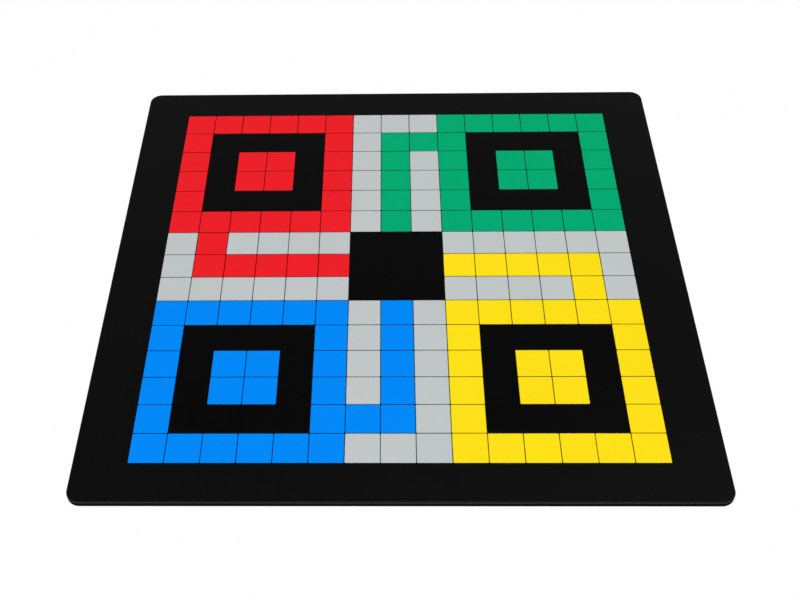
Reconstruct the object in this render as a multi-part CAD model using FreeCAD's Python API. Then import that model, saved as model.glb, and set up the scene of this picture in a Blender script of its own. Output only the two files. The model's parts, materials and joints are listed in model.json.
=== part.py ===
import FreeCAD, Part
import os

# Inlaid ludo board. Square tiles, black yard rings and a black centre plate lie flush inside a
# one-piece black surround. All of them are held by one bonding sheet over a black base plate,
# and the base plate stands on round rubber pads let into its underside.
# Frame: X to the right, Y away from the front edge, Z up. The origin is on the table top, under
# the middle of the board. All sizes are in millimetres.

# Field of tiles
CELL_PITCH = 25.0  # from the middle of one cell to the next
TILE_JOINT = 0.7  # open joint between neighbouring pieces, and between them and the surround
FIELD_THICKNESS = 2.8  # tiles, rings, centre plate and surround
TILE_ARRIS = 0.3  # chamfer round the top of every piece of the field
YARD_CELLS = 6  # cells along one side of a corner yard, and along one arm of the track
ARM_CELLS = 3  # cells across an arm: return lane, home lane, outward lane
RIM_CELLS = 1  # rows of coloured tiles round a yard's black ring
RING_CELLS = 1  # width of that ring, in cells
START_CELL = 1  # the start tile's place in its lane, where the tile at the arm's end is 0

# Surround
SIDE_BORDER = 38.0  # left and right
END_BORDER = 31.0  # front and back
CORNER_RADIUS = 10.0
TOP_EDGE_RADIUS = 2.0
WINDOW_ARRIS = 0.3  # chamfer round the top of the window

# Base plate and bonding sheet
BASE_THICKNESS = 2.0
BASE_ARRIS = 0.5  # chamfer round the underside
BOND_THICKNESS = 0.2
BOND_INSET = 1.5  # from the board's edge to the sheet's edge

# Rubber pads
PAD_DIAMETER = 16.0
PAD_THICKNESS = 1.3
PAD_RECESS = 0.5  # depth of a pad's seat in the base plate
PAD_CLEARANCE = 0.15  # between a pad and the wall of its seat
PAD_ARRIS = 0.3  # chamfer round the bottom of a pad
PAD_EDGE_DISTANCE = 27.0  # from the board's edge to the middle of a pad
PADS_EACH_WAY = 3

# Worked out from the sizes above
FIELD_CELLS = 2 * YARD_CELLS + ARM_CELLS
WINDOW_SIZE = FIELD_CELLS * CELL_PITCH + TILE_JOINT
BOARD_WIDTH = WINDOW_SIZE + 2 * SIDE_BORDER
BOARD_DEPTH = WINDOW_SIZE + 2 * END_BORDER
BASE_BOTTOM = PAD_THICKNESS - PAD_RECESS
BOND_BOTTOM = BASE_BOTTOM + BASE_THICKNESS
FIELD_BOTTOM = BOND_BOTTOM + BOND_THICKNESS
FIELD_TOP = FIELD_BOTTOM + FIELD_THICKNESS

# The four quarters of the board, clockwise from the back left. Each colour's home lane runs in
# the arm that stands beside its name.
QUARTERS = (("red", "left"), ("green", "back"), ("yellow", "right"), ("blue", "front"))
SIDES = ("back", "right", "front", "left")
SAME = 1e-6  # two heights or places closer than this are the same


def rounded_plate(width, depth, radius, bottom, thickness):
    """A plate with round corners, its middle on the Z axis."""
    sagitta = radius * (1 - 0.5**0.5)  # how far the middle of an arc lies inside its corner
    up = FreeCAD.Vector(0, 0, 1)
    edges = []
    for turn in range(4):
        along, across = (width / 2, depth / 2) if turn % 2 == 0 else (depth / 2, width / 2)
        corners = [
            FreeCAD.Vector(radius - along, -across, bottom),
            FreeCAD.Vector(along - radius, -across, bottom),
            FreeCAD.Vector(along - sagitta, sagitta - across, bottom),
            FreeCAD.Vector(along, radius - across, bottom),
        ]
        spin = FreeCAD.Rotation(up, 90 * turn)
        start, end, arc_middle, arc_end = [spin.multVec(corner) for corner in corners]
        edges.append(Part.makeLine(start, end))
        edges.append(Part.Arc(end, arc_middle, arc_end).toShape())
    return Part.Face(Part.Wire(edges)).extrude(up * thickness)


def centred_box(width, depth, bottom, height):
    """A box with its middle on the Z axis."""
    return Part.makeBox(width, depth, height, FreeCAD.Vector(-width / 2, -depth / 2, bottom))


def edges_at_height(shape, height):
    """The edges that lie in the level plane at that height."""
    boxes = [(edge, edge.BoundBox) for edge in shape.Edges]
    return [edge for edge, box in boxes if abs(box.ZMin - height) + abs(box.ZMax - height) < SAME]


def moved(shape, x, y):
    """A copy of a shape, moved level."""
    copy = shape.copy()
    copy.translate(FreeCAD.Vector(x, y, 0))
    return copy


def base_plate(pad_places):
    """The full outline, with a chamfer underneath and a seat for every pad."""
    plate = rounded_plate(BOARD_WIDTH, BOARD_DEPTH, CORNER_RADIUS, BASE_BOTTOM, BASE_THICKNESS)
    plate = plate.makeChamfer(BASE_ARRIS, edges_at_height(plate, BASE_BOTTOM))
    seat_radius = PAD_DIAMETER / 2 + PAD_CLEARANCE
    seat = Part.makeCylinder(seat_radius, PAD_RECESS, FreeCAD.Vector(0, 0, BASE_BOTTOM))
    return plate.cut([moved(seat, x, y) for x, y in pad_places])


def bonding_sheet():
    """The adhesive film that everything above the base plate is laid on."""
    width = BOARD_WIDTH - 2 * BOND_INSET
    depth = BOARD_DEPTH - 2 * BOND_INSET
    return rounded_plate(width, depth, CORNER_RADIUS - BOND_INSET, BOND_BOTTOM, BOND_THICKNESS)


def surround_frame():
    """The border: outside edge rounded over on top, and a square window for the field."""
    plate = rounded_plate(BOARD_WIDTH, BOARD_DEPTH, CORNER_RADIUS, FIELD_BOTTOM, FIELD_THICKNESS)
    plate = plate.makeFillet(TOP_EDGE_RADIUS, edges_at_height(plate, FIELD_TOP))
    frame = plate.cut(centred_box(WINDOW_SIZE, WINDOW_SIZE, FIELD_BOTTOM, FIELD_THICKNESS))
    reach = WINDOW_SIZE / 2 + SAME
    middles = [(edge, edge.CenterOfMass) for edge in edges_at_height(frame, FIELD_TOP)]
    window_edges = [edge for edge, at in middles if max(abs(at.x), abs(at.y)) < reach]
    return frame.makeChamfer(WINDOW_ARRIS, window_edges)


def field_piece(cells, hole_cells=0):
    """A square piece of the field that covers that many cells each way, round a square hole."""
    size = cells * CELL_PITCH - TILE_JOINT
    piece = centred_box(size, size, FIELD_BOTTOM, FIELD_THICKNESS)
    if hole_cells:
        hole = hole_cells * CELL_PITCH + TILE_JOINT
        piece = piece.cut(centred_box(hole, hole, FIELD_BOTTOM, FIELD_THICKNESS))
    return piece.makeChamfer(TILE_ARRIS, edges_at_height(piece, FIELD_TOP))


def laid(piece, cells):
    """Copies of a piece, with their middles on those cells of the field."""
    middle = (FIELD_CELLS - 1) / 2
    places = [(column - middle, middle - row) for column, row in cells]
    return [moved(piece, across * CELL_PITCH, along * CELL_PITCH) for across, along in places]


def block(columns, rows):
    """Every cell in those columns and rows, counted from the back left corner of the field."""
    return [(column, row) for column in columns for row in rows]


def turned(cells, turns, size):
    """Cells after clockwise quarter turns of the square that reaches that far from the corner."""
    for _ in range(turns):
        cells = [(size - 1 - row, column) for column, row in cells]
    return cells


def yard_cells(turns, colour):
    """The cells of one yard's tiles by node. Each side of its rim has one of the corner tiles."""
    back_row = block(range(YARD_CELLS - RIM_CELLS), range(RIM_CELLS))
    inset = RIM_CELLS + RING_CELLS
    nest = range(inset, YARD_CELLS - inset)
    cells = {f"{colour}_nest_tiles": block(nest, nest)}
    for side in range(len(SIDES)):
        turned_side = SIDES[(side + turns) % len(SIDES)]
        cells[f"{colour}_yard_{turned_side}_tiles"] = turned(back_row, side, YARD_CELLS)
    return cells


def arm_cells(colour, arm):
    """The cells of one arm's tiles by node."""
    return_row = YARD_CELLS
    outward_row = YARD_CELLS + ARM_CELLS - 1
    home_rows = range(return_row + 1, outward_row)
    columns = range(YARD_CELLS)
    return_columns = [column for column in columns if column != START_CELL]
    return {
        f"{colour}_start_tile": block([START_CELL], [return_row]),
        f"{colour}_home_lane_tiles": block(columns[1:], home_rows),
        f"{arm}_track_turn_tile": block(columns[:1], home_rows),
        f"{arm}_track_return_tiles": block(return_columns, [return_row]),
        f"{arm}_track_outward_tiles": block(columns, [outward_row]),
    }


def quarter_pieces(turns, colour, arm):
    """Every node of one quarter of the field, as lists of solids."""
    tile = field_piece(1)
    cells = {**yard_cells(turns, colour), **arm_cells(colour, arm)}
    pieces = {name: laid(tile, turned(cells[name], turns, FIELD_CELLS)) for name in cells}
    ring_cells = YARD_CELLS - 2 * RIM_CELLS
    ring = field_piece(ring_cells, ring_cells - 2 * RING_CELLS)
    yard_middle = (YARD_CELLS - 1) / 2
    ring_place = turned([(yard_middle, yard_middle)], turns, FIELD_CELLS)
    pieces[f"{colour}_yard_ring"] = laid(ring, ring_place)
    return pieces


def pad_positions():
    """The middles of the pads, in even rows from edge to edge."""
    reach_x = BOARD_WIDTH / 2 - PAD_EDGE_DISTANCE
    reach_y = BOARD_DEPTH / 2 - PAD_EDGE_DISTANCE
    steps = [2 * step / (PADS_EACH_WAY - 1) - 1 for step in range(PADS_EACH_WAY)]
    return [(across * reach_x, along * reach_y) for across in steps for along in steps]


def rubber_pad():
    """A flat disc with its lower edge taken off."""
    disc = Part.makeCylinder(PAD_DIAMETER / 2, PAD_THICKNESS)
    return disc.makeChamfer(PAD_ARRIS, edges_at_height(disc, 0))


def board_pieces():
    """Every node of the board by name, as lists of solids."""
    pad_places = pad_positions()
    pieces = {
        "base_plate": [base_plate(pad_places)],
        "bonding_sheet": [bonding_sheet()],
        "surround_frame": [surround_frame()],
        "centre_plate": [field_piece(ARM_CELLS)],
        "rubber_pads": [moved(rubber_pad(), x, y) for x, y in pad_places],
    }
    for turns, (colour, arm) in enumerate(QUARTERS):
        pieces.update(quarter_pieces(turns, colour, arm))
    return pieces


os.makedirs("parts", exist_ok=True)
for name, solids in board_pieces().items():
    Part.Compound(solids).exportStep(f"parts/{name}.step")
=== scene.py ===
import json
import math
import random

import bmesh
import bpy
from mathutils import Matrix, Vector


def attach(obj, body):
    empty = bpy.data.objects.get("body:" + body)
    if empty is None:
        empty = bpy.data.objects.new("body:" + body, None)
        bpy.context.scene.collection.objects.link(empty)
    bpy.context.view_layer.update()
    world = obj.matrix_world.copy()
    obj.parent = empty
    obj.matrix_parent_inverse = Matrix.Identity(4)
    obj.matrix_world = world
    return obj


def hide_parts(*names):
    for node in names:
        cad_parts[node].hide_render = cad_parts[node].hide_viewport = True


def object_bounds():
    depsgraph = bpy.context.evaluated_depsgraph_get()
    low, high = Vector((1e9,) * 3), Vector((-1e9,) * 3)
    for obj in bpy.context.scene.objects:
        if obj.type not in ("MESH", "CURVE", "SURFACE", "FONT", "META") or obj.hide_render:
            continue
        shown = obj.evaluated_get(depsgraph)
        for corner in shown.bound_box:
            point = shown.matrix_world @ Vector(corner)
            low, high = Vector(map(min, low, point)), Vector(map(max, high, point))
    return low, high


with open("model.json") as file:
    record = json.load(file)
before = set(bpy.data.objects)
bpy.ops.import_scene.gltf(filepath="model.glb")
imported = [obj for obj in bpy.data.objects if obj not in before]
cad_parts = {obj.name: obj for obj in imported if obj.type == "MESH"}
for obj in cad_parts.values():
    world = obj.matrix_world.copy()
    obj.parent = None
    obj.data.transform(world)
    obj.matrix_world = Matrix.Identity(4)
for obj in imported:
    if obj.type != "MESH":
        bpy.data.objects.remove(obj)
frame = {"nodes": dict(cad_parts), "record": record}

cadLow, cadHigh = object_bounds()  # the solids' own box
nodes = frame["nodes"]
slotOf = {row["node"]: row["material_slot"] for row in frame["record"]["subparts"]}
mm = 0.001
samePoint = 0.001 * mm  # points closer than this are one
sameLevel = 0.01 * mm  # heights closer than this are one level
print("frame loaded:", len(nodes), "solids' nodes")


# Reading sizes off the solids

def islandsOf(node):
    # every separate solid of a node as its own list of corner points
    bm = bmesh.new()
    bm.from_mesh(nodes[node].data)
    bmesh.ops.remove_doubles(bm, verts=bm.verts, dist=samePoint)
    waiting = set(bm.verts)
    islands = []
    while waiting:
        stack = [waiting.pop()]
        points = []
        while stack:
            vert = stack.pop()
            points.append(vert.co.copy())
            near = {edge.other_vert(vert) for edge in vert.link_edges} & waiting
            waiting -= near
            stack.extend(near)
        islands.append(points)
    bm.free()
    return sorted(islands, key=lambda points: boxOf(points)[0][:])


def boxOf(points):
    low = Vector(min(point[axis] for point in points) for axis in range(3))
    high = Vector(max(point[axis] for point in points) for axis in range(3))
    return low, high


def levelsOf(points):
    # the heights at which a solid has corners, lowest first
    return sorted({round(point.z / mm, 3) * mm for point in points})


def reachAt(points, height):
    # how far a solid goes from its middle line along X, at one of its levels
    return max(point.x for point in points if abs(point.z - height) < sameLevel)


def cornerRadiusOf(points):
    # the round of the upright corners: where the straight right-hand side ends
    high = boxOf(points)[1]
    side = [point.y for point in points if abs(point.x - high.x) < samePoint]
    return high.y - max(side)


def holeHalfOf(points):
    # half the width of a solid's square hole; without a hole, half the solid's own width
    low, high = boxOf(points)
    middle = (low.x + high.x) / 2
    return min(abs(point.x - middle) for point in points if abs(point.z - low.z) < sameLevel)


# Mesh tools

def newMesh():
    # what the materials read off the points: rubbed edge (on the surround, a painted highlight), which
    # tile, how far below its face
    bm = bmesh.new()
    for name in ("arris", "tile", "depth"):
        bm.verts.layers.float.new(name)
    return bm


def roundedLoop(bm, middle, halfX, halfY, radius, steps, height):
    # one level ring of a rectangle with round corners, anticlockwise from above
    ring = []
    for quarter, (signX, signY) in enumerate(((1, 1), (-1, 1), (-1, -1), (1, -1))):
        for step in range(steps + 1):
            angle = math.pi / 2 * (quarter + step / steps)
            x = middle.x + signX * (halfX - radius) + radius * math.cos(angle)
            y = middle.y + signY * (halfY - radius) + radius * math.sin(angle)
            ring.append(bm.verts.new((x, y, height)))
    return ring


def skin(bm, rings, closed=False):
    # quads from each ring to the next
    pairs = list(zip(rings, rings[1:]))
    if closed:
        pairs.append((rings[-1], rings[0]))
    for lower, upper in pairs:
        count = len(lower)
        for index in range(count):
            after = (index + 1) % count
            bm.faces.new((lower[index], lower[after], upper[after], upper[index]))


def quarterRound(steps):
    # inset and rise of a quarter round of radius 1, from its side to its top
    angles = [math.pi / 2 * step / steps for step in range(steps + 1)]
    return [(1 - math.cos(angle), math.sin(angle)) for angle in angles]


def marked(ring, layer, value):
    for vert in ring:
        vert[layer] = value
    return ring


def camelName(name):
    first, *rest = name.split("_")
    return first + "".join(word.capitalize() for word in rest)


def finishPiece(node, bm, material):
    # the mesh becomes a piece on the board's body and stands for its solid
    bmesh.ops.recalc_face_normals(bm, faces=bm.faces)
    mesh = bpy.data.meshes.new(camelName(node))
    bm.to_mesh(mesh)
    bm.free()
    mesh.materials.append(material)
    piece = bpy.data.objects.new(camelName(node), mesh)
    bpy.context.scene.collection.objects.link(piece)
    smoothPiece(piece)
    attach(piece, "root")
    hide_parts(node)
    return piece


def smoothPiece(piece, sharpest=38):
    # smooth shading, except over edges sharper than this many degrees
    for polygon in piece.data.polygons:
        polygon.use_smooth = True
    piece.data.set_sharp_from_angle(angle=math.radians(sharpest))


# Shader tools

def feed(tree, socket, value):
    # another node's output is linked, anything else is set
    if isinstance(value, bpy.types.NodeSocket):
        tree.links.new(value, socket)
    else:
        socket.default_value = value


def addNode(tree, kind, inputs=(), **settings):
    node = tree.nodes.new(kind)
    for name, value in settings.items():
        setattr(node, name, value)
    for key, value in dict(inputs).items():
        feed(tree, node.inputs[key], value)
    return node


def maths(tree, operation, first, second=0.0):
    node = addNode(tree, "ShaderNodeMath", {0: first, 1: second}, operation=operation)
    return node.outputs[0]


def mixColour(tree, amount, first, second):
    # inputs 0, 6 and 7 and output 2 are the mix node's colour sockets
    node = addNode(tree, "ShaderNodeMix", {0: amount, 6: first, 7: second}, data_type="RGBA")
    return node.outputs[2]


def spread(tree, value, low, high, newLow=0.0, newHigh=1.0):
    inputs = {"Value": value, "From Min": low, "From Max": high, "To Min": newLow, "To Max": newHigh}
    return addNode(tree, "ShaderNodeMapRange", inputs).outputs[0]


def noise(tree, place, scale, detail=2.0, roughness=0.5):
    inputs = {"Vector": place, "Scale": scale, "Detail": detail, "Roughness": roughness}
    return addNode(tree, "ShaderNodeTexNoise", inputs).outputs["Fac"]


def meshValue(tree, name):
    return addNode(tree, "ShaderNodeAttribute", attribute_name=name).outputs["Fac"]


def newGroup(name, inputs, outputs):
    # a shader group with its sockets; a number makes a value input, a tuple a colour input
    group = bpy.data.node_groups.new(name, "ShaderNodeTree")
    for label, value in inputs.items():
        kind = "NodeSocketColor" if isinstance(value, tuple) else "NodeSocketFloat"
        socket = group.interface.new_socket(label, in_out="INPUT", socket_type=kind)
        socket.default_value = value
    for label, kind in outputs.items():
        group.interface.new_socket(label, in_out="OUTPUT", socket_type=kind)
    return group, addNode(group, "NodeGroupInput"), addNode(group, "NodeGroupOutput")


def useGroup(tree, group, inputs):
    node = addNode(tree, "ShaderNodeGroup", node_tree=group)
    for label, value in inputs.items():
        feed(tree, node.inputs[label], value)
    return node


def fromScreen(red, green, blue):
    # a colour read on screen, 0 to 255, made linear by the sRGB curve
    parts = [part / 255 for part in (red, green, blue)]
    linear = [part / 12.92 if part < 0.04045 else ((part + 0.055) / 1.055) ** 2.4 for part in parts]
    return (*linear, 1.0)


# Finishes that several materials share

def placeOn(tree, offset):
    # the board's own coordinates, moved on for every tile so that no two show the same stretch
    place = addNode(tree, "ShaderNodeTexCoord").outputs["Object"]
    moved = addNode(tree, "ShaderNodeCombineXYZ", {"X": offset, "Y": offset, "Z": offset}).outputs[0]
    return addNode(tree, "ShaderNodeVectorMath", {0: place, 1: moved}, operation="ADD").outputs[0]


grainLook = {"driftsPerGrain": 1 / 60, "driftLow": 0.3, "driftHigh": 0.7}


def makeMouldGrain():
    # fine spark-eroded texture of a mould, with a slow drift over the face
    inputs = {"Grain Size": 0.4 * mm, "Tile": 0.0}
    outputs = {"Height": "NodeSocketFloat", "Drift": "NodeSocketFloat"}
    group, given, out = newGroup("mouldGrain", inputs, outputs)
    place = placeOn(group, given.outputs["Tile"])
    perMetre = maths(group, "DIVIDE", 1.0, given.outputs["Grain Size"])
    driftsPerMetre = maths(group, "MULTIPLY", perMetre, grainLook["driftsPerGrain"])
    fine = noise(group, place, perMetre, detail=3.0, roughness=0.6)
    slow = noise(group, place, driftsPerMetre, detail=2.0)
    feed(group, out.inputs["Height"], fine)
    feed(group, out.inputs["Drift"], spread(group, slow, grainLook["driftLow"], grainLook["driftHigh"]))
    return group


smearLook = {"low": 0.48, "high": 0.72}  # noise below low is clean, above high fully smeared


def makeHandMarks():
    # broad soft smears where hands and pawns have slid over the face
    inputs = {"Reach": 50 * mm, "Tile": 0.0}
    group, given, out = newGroup("handMarks", inputs, {"Mask": "NodeSocketFloat"})
    place = placeOn(group, given.outputs["Tile"])
    perMetre = maths(group, "DIVIDE", 1.0, given.outputs["Reach"])
    smear = noise(group, place, perMetre, detail=4.0, roughness=0.65)
    feed(group, out.inputs["Mask"], spread(group, smear, smearLook["low"], smearLook["high"]))
    return group


hairlineLook = {
    "turns": (0.4, 2.1),  # direction of each set, in radians
    "perMetre": (18.0, 1600.0, 1.0),  # along a line, across it, and down
    "low": 0.70,  # noise below this leaves no mark
    "high": 0.80,  # and above this a full one
}


def makeHairlines():
    # thin straight rub marks, two sets that cross
    inputs = {"Tile": 0.0}
    group, given, out = newGroup("hairlines", inputs, {"Mask": "NodeSocketFloat"})
    place = placeOn(group, given.outputs["Tile"])
    sets = []
    for turn in hairlineLook["turns"]:
        stretched = addNode(group, "ShaderNodeMapping", {
            "Vector": place,
            "Rotation": (0.0, 0.0, turn),
            "Scale": hairlineLook["perMetre"],
        }).outputs[0]
        line = noise(group, stretched, 1.0, detail=1.0)
        sets.append(spread(group, line, hairlineLook["low"], hairlineLook["high"]))
    feed(group, out.inputs["Mask"], maths(group, "MAXIMUM", *sets))
    return group


wearAndHighlightLook = {"patchesPerMetre": 220.0, "low": 0.42, "high": 0.68, "least": 0.7}  # least: between patches


def makeArrisWearAndHighlight():
    # edges painted a little paler, more so in patches: rubbed wear on most pieces, a painted highlight on
    # the surround's top edge
    inputs = {"Arris": 0.0, "Amount": 0.5, "Tile": 0.0}
    group, given, out = newGroup("arrisWear", inputs, {"Mask": "NodeSocketFloat"})
    place = placeOn(group, given.outputs["Tile"])
    uneven = noise(group, place, wearAndHighlightLook["patchesPerMetre"], detail=4.0, roughness=0.7)
    patches = spread(group, uneven, wearAndHighlightLook["low"], wearAndHighlightLook["high"], newLow=wearAndHighlightLook["least"])
    wornAndHighlit = maths(group, "MULTIPLY", patches, given.outputs["Arris"])
    feed(group, out.inputs["Mask"], maths(group, "MULTIPLY", wornAndHighlit, given.outputs["Amount"]))
    return group


def makeBatchTone():
    # every moulded piece a shade lighter or darker than the next
    inputs = {"Colour": (0.5, 0.5, 0.5, 1.0), "Tone": 0.0, "Spread": 0.02, "Drift": 0.5}
    group, given, out = newGroup("batchTone", inputs, {"Colour": "NodeSocketColor"})
    shade = maths(group, "MULTIPLY", given.outputs["Tone"], given.outputs["Spread"])
    drift = maths(group, "SUBTRACT", given.outputs["Drift"], 0.5)  # either side of none
    clouds = maths(group, "MULTIPLY", drift, given.outputs["Spread"])
    value = maths(group, "ADD", 1.0, maths(group, "ADD", shade, clouds))
    toned = addNode(group, "ShaderNodeHueSaturation", {"Color": given.outputs["Colour"], "Value": value})
    feed(group, out.inputs["Colour"], toned.outputs["Color"])
    return group


mouldGrain = makeMouldGrain()
handMarks = makeHandMarks()
hairlines = makeHairlines()
arrisWear = makeArrisWearAndHighlight()
batchTone = makeBatchTone()
print("shared finishes ready")


# Materials

plasticLook = {
    "roughness": 0.40,
    "specular": 0.02,
    "grainSize": 0.45 * mm,
    "grainDepth": 0.006 * mm,
    "grainStrength": 0.35,
    "toneSpread": 0.012,
    "smearReach": 45 * mm,
    "smearGloss": -0.05,  # change of roughness under a smear
    "hairlineGloss": 0.08,
    "wear": 0.35,
    "wornColour": (0.35, 0.35, 0.35, 1.0),
    "coreColour": (0.003, 0.003, 0.003, 1.0),  # black ply under the coloured one
    "facePly": 0.12 * mm,  # thickness of the coloured ply
    "plyBlend": 0.05 * mm,  # depth over which it turns into the core
}


def makePlastic(name, colour, **changes):
    look = {**plasticLook, **changes}
    material = bpy.data.materials.new(name)
    material.use_nodes = True
    tree = material.node_tree
    tree.nodes.clear()
    tile = meshValue(tree, "tile")
    grain = useGroup(tree, mouldGrain, {"Grain Size": look["grainSize"], "Tile": tile})
    smears = useGroup(tree, handMarks, {"Reach": look["smearReach"], "Tile": tile}).outputs["Mask"]
    rubs = useGroup(tree, hairlines, {"Tile": tile}).outputs["Mask"]
    # paler edges: rubbed wear, and with the surround's values a painted highlight
    wornAndHighlit = useGroup(tree, arrisWear, {
        "Arris": meshValue(tree, "arris"),
        "Amount": look["wear"],
        "Tile": tile,
    })
    toned = useGroup(tree, batchTone, {
        "Colour": colour,
        "Tone": tile,
        "Spread": look["toneSpread"],
        "Drift": grain.outputs["Drift"],
    })
    base = mixColour(tree, wornAndHighlit.outputs["Mask"], toned.outputs["Colour"], look["wornColour"])
    coreStart = look["facePly"]
    core = spread(tree, meshValue(tree, "depth"), coreStart, coreStart + look["plyBlend"])
    base = mixColour(tree, core, base, look["coreColour"])
    smeared = maths(tree, "MULTIPLY", smears, look["smearGloss"])
    markShare = maths(tree, "MULTIPLY", rubs, look["hairlineGloss"])
    roughness = maths(tree, "ADD", look["roughness"], maths(tree, "ADD", smeared, markShare))
    bump = addNode(tree, "ShaderNodeBump", {
        "Height": grain.outputs["Height"],
        "Strength": look["grainStrength"],
        "Distance": look["grainDepth"],
    })
    shader = addNode(tree, "ShaderNodeBsdfPrincipled", {
        "Base Color": base,
        "Roughness": roughness,
        "Specular IOR Level": look["specular"],
        "Normal": bump.outputs["Normal"],
    })
    addNode(tree, "ShaderNodeOutputMaterial", {"Surface": shader.outputs[0]})
    return material


def makeRubber(name, colour):
    # soft black rubber, speckled and dull
    return makePlastic(
        name,
        colour,
        roughness=0.75,
        specular=0.2,
        grainSize=0.25 * mm,
        grainDepth=0.02 * mm,
        grainStrength=0.6,
        hairlineGloss=0.0,
        wear=0.2,
        wornColour=fromScreen(70, 70, 70),
    )


tileColours = {
    "red_tile": fromScreen(239, 32, 40),
    "green_tile": fromScreen(2, 170, 114),
    "blue_tile": fromScreen(0, 137, 248),
    "yellow_tile": fromScreen(254, 225, 23),
    "grey_tile": fromScreen(193, 198, 199),
}
black = {"roughness": 0.30, "specular": 0.05, "wear": 0.2, "wornColour": fromScreen(24, 24, 24)}
edgeHighlightBlack = {**black, "wear": 1.0, "wornColour": fromScreen(62, 62, 62)}  # painted highlight: the rounded top edge is painted much paler, in place of a lamp's gleam on it
cutBlack = {"roughness": 0.75, "specular": 0.0, "wear": 0.2, "wornColour": fromScreen(26, 26, 26)}
materials = {
    slot: makePlastic(camelName(slot), colour, wear=0.2, wornColour=colour)  # rubs to its own colour
    for slot, colour in tileColours.items()
}
materials["inlay_black"] = makePlastic("inlayBlack", fromScreen(4, 4, 4), **black)
# the surround's rounded top edge carries a painted highlight
materials["surround_black"] = makePlastic("surroundBlack", fromScreen(10, 10, 10), **edgeHighlightBlack)
materials["base_black"] = makePlastic("baseBlack", fromScreen(23, 23, 23), **cutBlack)
materials["bonding_film"] = makePlastic("bondingFilm", fromScreen(8, 8, 8), roughness=0.6, specular=0.2)
materials["pad_rubber"] = makeRubber("padRubber", fromScreen(22, 22, 22))
print("materials ready:", ", ".join(materials))


# Pieces of the field: tiles, yard rings, centre plate

tileShape = {
    "arrisSteps": 3,
    "corner": 0.6 * mm,  # round of the upright corners
    "cornerSteps": 3,
    "flatRing": 0.12 * mm,  # keeps the face level right up to the arris
    "swell": 0.11 * mm,  # each piece is this much larger all round, for the photo's finer joints
}
tileLie = {
    "shift": 0.03 * mm,  # how far a tile lies off its place
    "sink": 0.03 * mm,  # how far it lies below flush
    "yaw": 0.06,  # degrees
    "tilt": 0.03,  # degrees
}
layTiles = random.Random(15)  # seeded, so that every run lays them alike


def fieldRings(bm, middle, half, bottom, top, arris, outward=1):
    # rings up one wall and over its arris; outward is 1 on an outside wall and -1 in a hole
    steps = tileShape["cornerSteps"]
    corner = tileShape["corner"]

    def ring(inset, height, markShare):
        size = half - outward * inset
        loop = roundedLoop(bm, middle, size, size, corner - outward * inset, steps, height)
        marked(loop, bm.verts.layers.float["depth"], top - height)
        return marked(loop, bm.verts.layers.float["arris"], markShare)

    rings = [ring(0, bottom, 0)]
    for inset, rise in quarterRound(tileShape["arrisSteps"]):
        rings.append(ring(inset * arris, top - arris + rise * arris, 1))
    rings.append(ring(arris + tileShape["flatRing"], top, 0))
    return rings


def addFieldPiece(bm, points):
    # one tile or plate; a ring if its solid has a hole
    low, high = boxOf(points)
    levels = levelsOf(points)
    arris = levels[-1] - levels[-2]
    middle = (low + high) / 2
    swell = tileShape["swell"]
    half = (high.x - low.x) / 2
    rings = fieldRings(bm, middle, half + swell, low.z, high.z, arris)
    hole = holeHalfOf(points)
    if hole < half - samePoint:
        rings += fieldRings(bm, middle, hole - swell, low.z, high.z, arris, outward=-1)[::-1]
        skin(bm, rings, closed=True)
    else:
        skin(bm, rings)
        bm.faces.new(rings[0])
        bm.faces.new(rings[-1])
    return [vert for ring in rings for vert in ring]


def layUnevenly(verts, points, draw):
    # a tile is never quite level, square and flush
    low, high = boxOf(points)
    middle = Vector(((low.x + high.x) / 2, (low.y + high.y) / 2, high.z))
    yaw = math.radians(draw.uniform(-1, 1) * tileLie["yaw"])
    tiltX = math.radians(draw.uniform(-1, 1) * tileLie["tilt"])
    tiltY = math.radians(draw.uniform(-1, 1) * tileLie["tilt"])
    sunk = -draw.uniform(0, 1) * tileLie["sink"]
    shift = Vector((draw.uniform(-1, 1), draw.uniform(-1, 1), 0)) * tileLie["shift"]
    shift.z = sunk - (high.x - low.x) / 2 * (abs(tiltX) + abs(tiltY))  # no corner stands proud
    turn = Matrix.Rotation(yaw, 3, "Z") @ Matrix.Rotation(tiltX, 3, "X") @ Matrix.Rotation(tiltY, 3, "Y")
    for vert in verts:
        vert.co = middle + shift + turn @ (vert.co - middle)


def makeFieldNode(node):
    bm = newMesh()
    for points in islandsOf(node):
        verts = addFieldPiece(bm, points)
        marked(verts, bm.verts.layers.float["tile"], layTiles.uniform(-1, 1))
        if "tile" in node:
            layUnevenly(verts, points, layTiles)
    finishPiece(node, bm, materials[slotOf[node]])


fieldNodes = sorted(node for node in nodes if "tile" in node or "ring" in node or node == "centre_plate")
for node in fieldNodes:
    makeFieldNode(node)
print("field laid:", len(fieldNodes), "pieces")


# Surround

surroundShape = {
    "cornerSteps": 14,
    "over": 1.0 * mm,  # round of the finished top edge, tighter than the solid's fillet
    "overSteps": 8,
    "flatRing": 0.2 * mm,  # keeps the face level right up to the edges
    "underArris": 0.15 * mm,
    "windowCorner": 0.5 * mm,
    "rubFade": 2.0,  # how fast the painted highlight fades up the round
    "windowRub": 0.05,  # the painted highlight is faint at the window's edge
}


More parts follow.
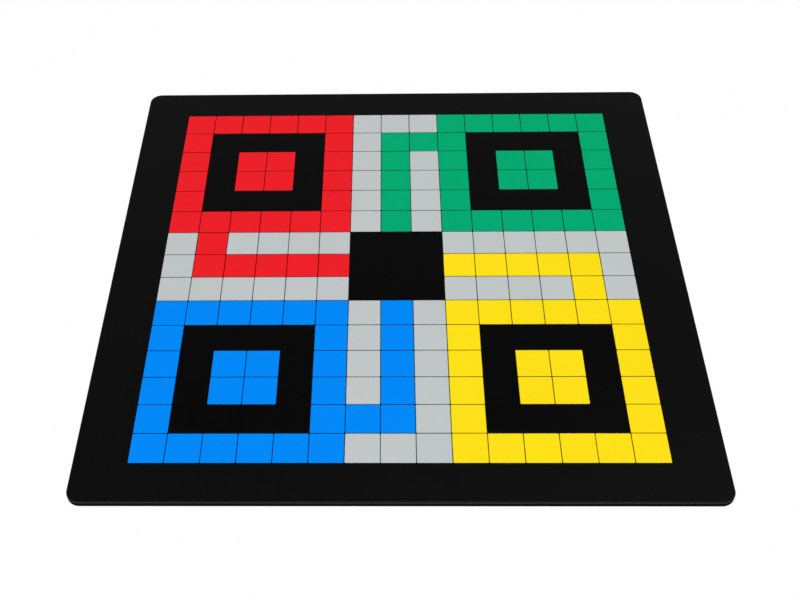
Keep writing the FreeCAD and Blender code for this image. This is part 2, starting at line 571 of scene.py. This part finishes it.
def makeSurround(node):
    points = islandsOf(node)[0]
    low, high = boxOf(points)
    steps = surroundShape["cornerSteps"]
    corner = cornerRadiusOf(points)
    over = surroundShape["over"]
    window = holeHalfOf(points)
    windowTop = min(abs(point.x) for point in points if abs(point.z - high.z) < sameLevel)
    arris = windowTop - window
    middle = (low + high) / 2
    under = surroundShape["underArris"]
    flat = surroundShape["flatRing"]
    bm = newMesh()

    def outside(inset, height, markShare):
        ring = roundedLoop(bm, middle, high.x - inset, high.y - inset, corner - inset, steps, height)
        return marked(ring, bm.verts.layers.float["arris"], markShare)

    def inside(outset, height, markShare):
        radius = surroundShape["windowCorner"] + outset
        ring = roundedLoop(bm, middle, window + outset, window + outset, radius, steps, height)
        return marked(ring, bm.verts.layers.float["arris"], markShare)

    rings = [outside(under, low.z, 0), outside(0, low.z + under, 0)]
    for inset, rise in quarterRound(surroundShape["overSteps"]):
        # painted highlight on the round: full where it meets the wall, none at the top face
        markShare = (1 - inset) ** surroundShape["rubFade"]
        rings.append(outside(inset * over, high.z - over + rise * over, markShare))
    rings.append(outside(over + flat, high.z, 0))
    rings.append(inside(arris + flat, high.z, 0))
    for outset, rise in reversed(quarterRound(tileShape["arrisSteps"])):
        rings.append(inside(outset * arris, high.z - arris + rise * arris, surroundShape["windowRub"]))
    rings.append(inside(0, low.z, 0))
    skin(bm, rings, closed=True)
    piece = finishPiece(node, bm, materials[slotOf[node]])
    piece.data.materials.append(materials["base_black"])  # the cut walls are as dull as the base's
    for polygon in piece.data.polygons:
        if polygon.center.z < high.z - over:
            polygon.material_index = 1


makeSurround("surround_frame")
print("surround made")


# Base plate, pads and the sheet between

baseShape = {
    "cornerSteps": 14,
    "arrisSteps": 3,
    "seatSteps": 56,
    "flatRing": 0.2 * mm,
    "rim": 5 * mm,  # no seat comes this close to the edge
    "seatReach": 20 * mm,  # what lies farther than this from a pad's middle is another seat
    "cutBelow": 1 * mm,  # the cutter starts this far under the plate
}
padShape = {
    "steps": 56,
    "edge": 0.45 * mm,  # round of the lower edge
    "edgeSteps": 4,
    "dish": 0.05 * mm,  # how hollow the face is
    "dishRadius": 0.55,  # where the hollow is level, as a share of the pad's radius
}


def discRing(bm, middle, radius, height, steps):
    angles = [2 * math.pi * step / steps for step in range(steps)]
    return [
        bm.verts.new((middle.x + radius * math.cos(angle), middle.y + radius * math.sin(angle), height))
        for angle in angles
    ]


def seatsOf(points, padMiddles):
    # floor and radius of the pads' seats in the base plate
    low, high = boxOf(points)
    edge = high.x - baseShape["rim"]
    inner = [point for point in points if low.z < point.z < high.z and abs(point.x) < edge]
    floor = max(point.z for point in inner)
    first = padMiddles[0]
    reaches = [math.hypot(point.x - first.x, point.y - first.y) for point in inner]
    return floor, max(reach for reach in reaches if reach < baseShape["seatReach"])


def carveSeats(piece, padMiddles, floor, radius, below):
    # the modifier's result becomes the piece's own mesh
    cutter = bmesh.new()
    steps = baseShape["seatSteps"]
    for middle in padMiddles:
        rings = [discRing(cutter, middle, radius, height, steps) for height in (below, floor)]
        skin(cutter, rings)
        cutter.faces.new(rings[0][::-1])
        cutter.faces.new(rings[1])
    cutterMesh = bpy.data.meshes.new("seatCutter")
    cutter.to_mesh(cutterMesh)
    cutter.free()
    cutterObject = bpy.data.objects.new("seatCutter", cutterMesh)
    bpy.context.scene.collection.objects.link(cutterObject)
    cut = piece.modifiers.new("seats", "BOOLEAN")
    cut.operation = "DIFFERENCE"
    cut.solver = "EXACT"
    cut.object = cutterObject
    evaluated = piece.evaluated_get(bpy.context.evaluated_depsgraph_get())
    carved = bpy.data.meshes.new_from_object(evaluated)
    piece.modifiers.clear()
    piece.data = carved
    bpy.data.objects.remove(cutterObject)
    smoothPiece(piece)


def makeBase(node, padMiddles):
    points = islandsOf(node)[0]
    low, high = boxOf(points)
    corner = cornerRadiusOf(points)
    arris = high.x - reachAt(points, low.z)
    middle = (low + high) / 2
    flat = baseShape["flatRing"]
    bm = newMesh()

    def outline(inset, height, markShare):
        steps = baseShape["cornerSteps"]
        ring = roundedLoop(bm, middle, high.x - inset, high.y - inset, corner - inset, steps, height)
        return marked(ring, bm.verts.layers.float["arris"], markShare)

    rings = [outline(arris + flat, low.z, 0)]
    for inset, rise in reversed(quarterRound(baseShape["arrisSteps"])):
        rings.append(outline(inset * arris, low.z + arris - rise * arris, 1))
    rings.append(outline(0, high.z, 0))
    skin(bm, rings)
    bm.faces.new(rings[0][::-1])
    bm.faces.new(rings[-1])
    piece = finishPiece(node, bm, materials[slotOf[node]])
    floor, radius = seatsOf(points, padMiddles)
    carveSeats(piece, padMiddles, floor, radius, low.z - baseShape["cutBelow"])


def makePads(node):
    # flat discs with a round lower edge and a slightly hollow face
    steps = padShape["steps"]
    edge = padShape["edge"]
    bm = newMesh()
    arrisLayer = bm.verts.layers.float["arris"]
    tileLayer = bm.verts.layers.float["tile"]
    for points in islandsOf(node):
        low, high = boxOf(points)
        middle = (low + high) / 2
        radius = (high.x - low.x) / 2
        rings = [discRing(bm, middle, radius, high.z, steps)]
        for inset, rise in quarterRound(padShape["edgeSteps"]):
            ring = discRing(bm, middle, radius - inset * edge, low.z + edge - rise * edge, steps)
            rings.append(marked(ring, arrisLayer, 1))
        hollow = discRing(bm, middle, radius * padShape["dishRadius"], low.z + padShape["dish"], steps)
        rings.append(hollow)
        skin(bm, rings)
        bm.faces.new(rings[0])
        bm.faces.new(rings[-1])
        tone = layTiles.uniform(-1, 1)
        for ring in rings:
            marked(ring, tileLayer, tone)
    finishPiece(node, bm, materials[slotOf[node]])


padMiddles = [sum(boxOf(points), Vector()) / 2 for points in islandsOf("rubber_pads")]
makeBase("base_plate", padMiddles)
makePads("rubber_pads")
sheet = nodes["bonding_sheet"]  # its solid is right as it is
sheet.data.materials.clear()
sheet.data.materials.append(materials["bonding_film"])
print("base, pads and sheet made")


# Floor, light and camera

floorLook = {
    "size": 30.0,
    "rim": 1.4,  # the floor turns up this far at its ends, so that low views end in white
    "colour": (0.95, 0.95, 0.95, 1.0),
    "glow": 0.95,  # share of plain white in what is seen; the rest is lit and takes the shadow
}


def makeFloor():
    half = floorLook["size"] / 2
    corners = ((-half, -half), (half, -half), (half, half), (-half, half))
    bm = bmesh.new()
    heights = (cadLow.z, cadLow.z + floorLook["rim"])
    rings = [[bm.verts.new((x, y, height)) for x, y in corners] for height in heights]
    bm.faces.new(rings[0])
    skin(bm, rings)
    mesh = bpy.data.meshes.new("floor")
    bm.to_mesh(mesh)
    bm.free()
    material = bpy.data.materials.new("paleFloor")
    material.use_nodes = True
    tree = material.node_tree
    tree.nodes.clear()
    path = addNode(tree, "ShaderNodeLightPath").outputs
    seen = maths(tree, "MAXIMUM", path["Is Camera Ray"], path["Is Glossy Ray"])
    seen = maths(tree, "MAXIMUM", seen, path["Is Transmission Ray"])
    paper = addNode(tree, "ShaderNodeBsdfDiffuse", {"Color": floorLook["colour"]})
    white = addNode(tree, "ShaderNodeEmission", {"Strength": 1.0})
    share = maths(tree, "MULTIPLY", seen, floorLook["glow"])
    mixed = addNode(tree, "ShaderNodeMixShader", {0: share, 1: paper.outputs[0], 2: white.outputs[0]})
    addNode(tree, "ShaderNodeOutputMaterial", {"Surface": mixed.outputs[0]})
    mesh.materials.append(material)
    floor = bpy.data.objects.new("floor", mesh)
    bpy.context.scene.collection.objects.link(floor)


roomLook = {
    "low": 0.52,  # strength of the walls
    "high": 0.08,  # strength of the ceiling
    "lowAt": 0.68,  # rise of the direction at which the walls end
    "highAt": 0.82,  # rise at which the ceiling starts
}


def makeRoom():
    world = bpy.data.worlds.new("room")
    bpy.context.scene.world = world
    world.use_nodes = True
    tree = world.node_tree
    tree.nodes.clear()
    direction = addNode(tree, "ShaderNodeTexCoord").outputs["Generated"]
    rise = addNode(tree, "ShaderNodeSeparateXYZ", {0: direction}).outputs["Z"]
    strength = spread(tree, rise, roomLook["lowAt"], roomLook["highAt"], roomLook["low"], roomLook["high"])
    walls = addNode(tree, "ShaderNodeBackground", {"Color": (1.0, 1.0, 1.0, 1.0), "Strength": strength})
    addNode(tree, "ShaderNodeOutputWorld", {"Surface": walls.outputs[0]})


overheadLamp = {"place": (0.1, -0.31, 2.2), "width": 3.0, "height": 2.2, "power": 47.2}


def makeLamp():
    light = bpy.data.lights.new("overhead", "AREA")
    light.shape = "RECTANGLE"
    light.size = overheadLamp["width"]
    light.size_y = overheadLamp["height"]
    light.energy = overheadLamp["power"]
    panel = bpy.data.objects.new("overhead", light)
    panel.location = overheadLamp["place"]
    panel.rotation_euler = (-panel.location).to_track_quat("-Z", "Y").to_euler()  # faces the board
    bpy.context.scene.collection.objects.link(panel)


photoView = {
    "place": (-6.46 * mm, -619.86 * mm, 655.24 * mm),  # from the middle of the playing face
    "turn": (41.641, 1.065, 0.691),  # degrees
    "lens": 50.85,  # focal length and sensor width in millimetres, as Blender takes them
    "sensor": 36.0,
    "shift": 0.0453,  # the picture is cropped a little off the lens axis
    "nearest": 10 * mm,
}


def makeCamera():
    camera = bpy.data.cameras.new("photoView")
    camera.lens = photoView["lens"]
    camera.sensor_width = photoView["sensor"]
    camera.shift_x = photoView["shift"]
    camera.clip_start = photoView["nearest"]
    camera.clip_end = 2 * floorLook["size"]
    viewer = bpy.data.objects.new("photoView", camera)
    viewer.location = Vector(photoView["place"]) + Vector((0, 0, cadHigh.z))
    viewer.rotation_euler = [math.radians(angle) for angle in photoView["turn"]]
    bpy.context.scene.collection.objects.link(viewer)
    bpy.context.scene.camera = viewer


makeFloor()
makeRoom()
makeLamp()
makeCamera()
bpy.context.scene.view_settings.view_transform = "Standard"
print("floor, light and camera ready")
